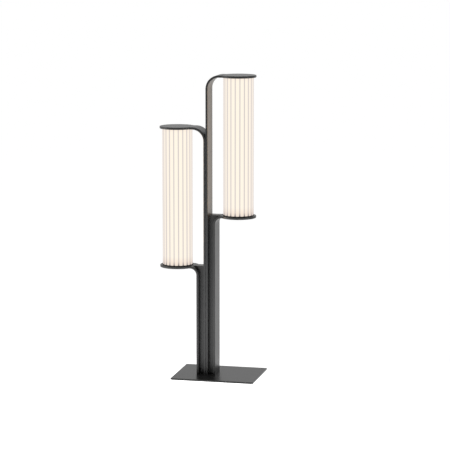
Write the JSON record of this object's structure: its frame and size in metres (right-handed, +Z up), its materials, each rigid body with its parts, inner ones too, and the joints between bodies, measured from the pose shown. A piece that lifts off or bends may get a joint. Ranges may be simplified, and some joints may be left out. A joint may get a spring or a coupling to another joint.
{
  "type": "outdoor floor lamp",
  "caption": "Outdoor floor lamp: staggered fluted glass light tubes clamped between round plates of bent flat bars on a rectangular base plate.",
  "frame": {"origin": "on the floor, at the middle of the underside of the rubber mat under the base plate", "axes": "+Z up, +X to the right seen from the front, towards the tall light, +Y to the back"},
  "size_m": [0.406, 0.264, 1.2],
  "materials": {
    "powder_coat": "satin black powder coat with a fine even texture",
    "fluted_glass": "white fluted glass, lit from inside, warm white",
    "opal_acrylic": "opal, matt",
    "black_rubber": "matt",
    "black_plastic": "fine matt",
    "stainless_steel": "turned, bright",
    "bare_aluminium": "mill finish",
    "white_plastic": "matt",
    "circuit_strip": "white solder mask with yellow chips",
    "driver_case": "matt",
    "lead_sheath": "silicone sheath"
  },
  "bodies": {
    "root": {"base_plate": "powder_coat", "base_mat": "black_rubber", "base_screws": "stainless_steel", "column_screws": "stainless_steel", "upper_arm_a": "powder_coat", "upper_arm_b": "powder_coat", "lower_arm_a": "powder_coat", "lower_arm_b": "powder_coat", "core_channel_a": "powder_coat", "core_channel_b": "powder_coat", "rear_cover_a": "powder_coat", "rear_cover_b": "powder_coat", "cover_screws_a": "stainless_steel", "cover_screws_b": "stainless_steel", "cap_plate_a": "powder_coat", "cap_plate_b": "powder_coat", "foot_block_a": "bare_aluminium", "foot_block_b": "bare_aluminium", "fluted_glass_a": "fluted_glass", "fluted_glass_b": "fluted_glass", "lower_ring_a": "black_rubber", "lower_ring_b": "black_rubber", "upper_gasket_a": "black_rubber", "upper_gasket_b": "black_rubber", "diffuser_a": "opal_acrylic", "diffuser_b": "opal_acrylic", "lower_seat_a": "white_plastic", "lower_seat_b": "white_plastic", "upper_seat_a": "white_plastic", "upper_seat_b": "white_plastic", "heat_sink_a": "bare_aluminium", "heat_sink_b": "bare_aluminium", "led_strips_a": "circuit_strip", "led_strips_b": "circuit_strip", "tie_rod_a": "stainless_steel", "tie_rod_b": "stainless_steel", "tie_nut_a": "stainless_steel", "tie_nut_b": "stainless_steel", "driver_a": "driver_case", "driver_b": "driver_case", "light_lead_a": "lead_sheath", "light_lead_b": "lead_sheath", "terminal_block": "white_plastic", "supply_leads": "lead_sheath", "link_bush": "black_rubber", "cable_gland": "black_plastic", "gland_nut": "black_plastic"}
  },
  "joints": []
}
